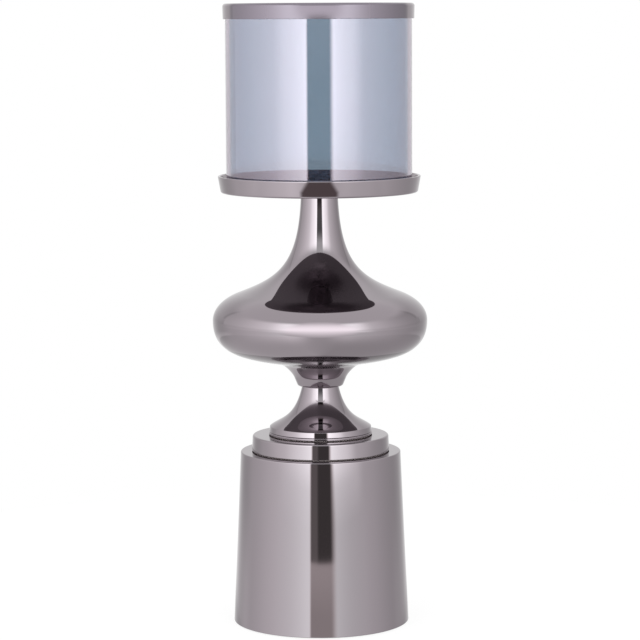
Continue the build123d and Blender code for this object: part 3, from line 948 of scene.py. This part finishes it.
wall_rows = [(PINHOLE_R, WALL_FOOT), (WALL_R, WALL_FOOT), (WALL_R, WALL_MIDDLE), (WALL_R, WALL_TOP)]
studio(band("studio_wall", wall_rows), wall_light)

ceiling_light, wiring, light = emitter("ceiling_light")
wiring.feed(light, "Strength", CEILING_LEVEL)
studio(band("studio_ceiling", [(WALL_R, WALL_TOP), (PINHOLE_R, WALL_TOP)]), ceiling_light)

# Small cards in front of the lamp that face it
CARD_END_FADE = 2 * MM


def card(name, distance, half_width, side_fade, ends, peak, level, edge_level, narrow=1.0, tint=WHITE):
    """A card with one level at its peak and one at its ends, which narrows from the peak upwards."""
    foot_z, top_z = ends
    mesh = bpy.data.meshes.new(name)
    corners = [(-half_width, foot_z), (half_width, foot_z), (half_width, top_z), (-half_width, top_z)]
    mesh.from_pydata([(x, -distance, z) for x, z in corners], [], [(0, 1, 2, 3)])
    piece = bpy.data.objects.new(name, mesh)
    bpy.context.collection.objects.link(piece)
    material, wiring, light = emitter(name)
    wiring.feed(light, "Color", (*tint, 1))
    across, _, up = wiring.place()
    rise = wiring.spread(up, foot_z, peak, edge_level, level, SMOOTH)
    drop = wiring.spread(up, peak, top_z, level, edge_level, SMOOTH)
    wiring.feed(light, "Strength", wiring.math("MINIMUM", rise, drop))
    wide = wiring.spread(up, peak, top_z, half_width, narrow * half_width)
    from_side = wiring.math("SUBTRACT", wide, wiring.math("ABSOLUTE", across))
    from_foot = wiring.math("SUBTRACT", up, foot_z)
    from_end = wiring.math("MINIMUM", from_foot, wiring.math("SUBTRACT", top_z, up))
    solid = wiring.math(
        "MULTIPLY",
        wiring.spread(from_side, 0.0, side_fade, 0.0, 1.0, SMOOTH),
        wiring.spread(from_end, 0.0, CARD_END_FADE, 0.0, 1.0, SMOOTH),
    )
    clear = wiring.add("ShaderNodeBsdfTransparent")
    wiring.show(wiring.add("ShaderNodeMixShader", i0=solid, i1=clear.outputs[0], i2=light.outputs[0]))
    studio(piece, material)


# Strip light for the streak on the bulb's widest part
strip_z = equator[1] + 4.5 * MM
card(
    "strip_light",
    distance=equator_r + 14 * MM,
    half_width=66 * MM,
    side_fade=30 * MM,
    ends=(strip_z - 15 * MM, strip_z + 26 * MM),
    peak=strip_z,
    level=2.85,
    edge_level=1.12,
    narrow=0.55,
)

# Dark flag that the tray's wall shows
flag_z = neck_top_z - 34 * MM
card(
    "dark_flag",
    distance=tray_rim_r + 100 * MM,
    half_width=69 * MM,
    side_fade=18 * MM,
    ends=(flag_z - 17 * MM, flag_z + 6 * MM),
    peak=flag_z - 10 * MM,
    level=0.2,
    edge_level=0.2,
    narrow=0.6,
    tint=(1.0, 0.83, 0.83),
)

# Fill for the middle of the top ring
card(
    "ring_fill",
    distance=ring_r + 30 * MM,
    half_width=55 * MM,
    side_fade=30 * MM,
    ends=(ring_foot_z, ring_foot_z + 35 * MM),
    peak=ring_foot_z + 2 * MM,
    level=2.05,
    edge_level=0.75,
)

# Table top: white to the camera, with the lamp's soft shadow on it
TABLE_R = 0.7
TABLE_DROP = 0.2 * MM
TABLE_WHITE = (0.8, 0.8, 0.8, 1)
SHADOW_WHITE = (0.16, 0.16, 0.16, 1)
TABLE_GLARE = 0.86
table = lathe("table_top", [(0, 0, (0, 1)), (TABLE_R, 0, (0, 1))], STAGE_TURNS, closed=False)
table.location.z = -TABLE_DROP
table_white, wiring, paint = surface("table_white", Base_Color=TABLE_WHITE, Roughness=0.5)
shadowed = wiring.add("ShaderNodeBsdfDiffuse", Color=SHADOW_WHITE)
glare = wiring.add("ShaderNodeEmission", Strength=TABLE_GLARE)
seen = wiring.add("ShaderNodeAddShader", i0=shadowed.outputs[0], i1=glare.outputs[0])
is_seen = wiring.add("ShaderNodeLightPath").outputs["Is Camera Ray"]
wiring.show(wiring.add("ShaderNodeMixShader", i0=is_seen, i1=paint.outputs[0], i2=seen.outputs[0]))
table.data.materials.append(table_white)
table.visible_glossy = False

# White world that the camera sees and the metal doesn't
world = bpy.data.worlds.new("white_studio")
bpy.context.scene.world = world
world.use_nodes = True
sky = world.node_tree.nodes["Background"]
sky.inputs["Color"].default_value = (*WHITE, 1)
sky.inputs["Strength"].default_value = 1.0
world.cycles_visibility.diffuse = False
world.cycles_visibility.glossy = False

# Camera
EYE_SPOT = (0, -2.6045, 0.6016)
EYE_DOWN = radians(6.585)
EYE_ROLL = radians(-0.29)
EYE_SENSOR = 36
EYE_LENS = 149.3
EYE_FAR = 50
eye = bpy.data.objects.new("eye", bpy.data.cameras.new("eye"))
bpy.context.collection.objects.link(eye)
eye.location = EYE_SPOT
pitch = Matrix.Rotation(pi / 2 - EYE_DOWN, 3, "X")
roll = Matrix.Rotation(EYE_ROLL, 3, "Z")
eye.rotation_euler = (pitch @ roll).to_euler()
eye.data.sensor_width = EYE_SENSOR
eye.data.lens = EYE_LENS
eye.data.clip_end = EYE_FAR
bpy.context.scene.camera = eye
bpy.context.scene.view_settings.view_transform = "Standard"
